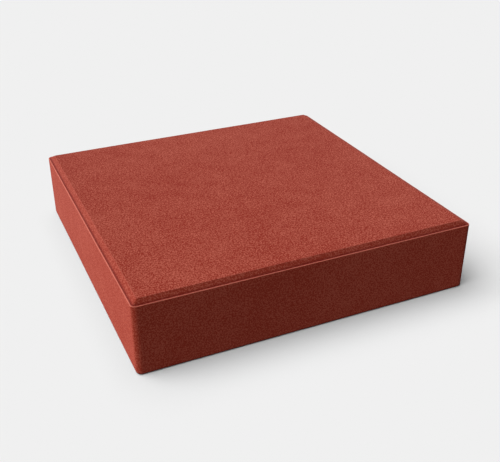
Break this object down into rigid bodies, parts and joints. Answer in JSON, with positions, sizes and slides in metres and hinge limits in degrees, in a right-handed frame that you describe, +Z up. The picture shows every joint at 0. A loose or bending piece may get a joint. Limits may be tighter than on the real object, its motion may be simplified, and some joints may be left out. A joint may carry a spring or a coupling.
{
  "type": "concrete paving stone",
  "caption": "Square red concrete paving slab with a bevelled walking face and a narrow ledge at the foot of the bevel, laid side by side on a bed of sand to pave paths and yards.",
  "frame": {"origin": "centre of the bed, the flat underside that the stone lies on", "axes": "+Z up, from the bed to the walking face; +X and +Y square to the upright faces"},
  "size_m": [0.3, 0.3, 0.065],
  "materials": {
    "red_concrete": "matt"
  },
  "bodies": {
    "root": {"paving_stone": "red_concrete"}
  },
  "joints": []
}
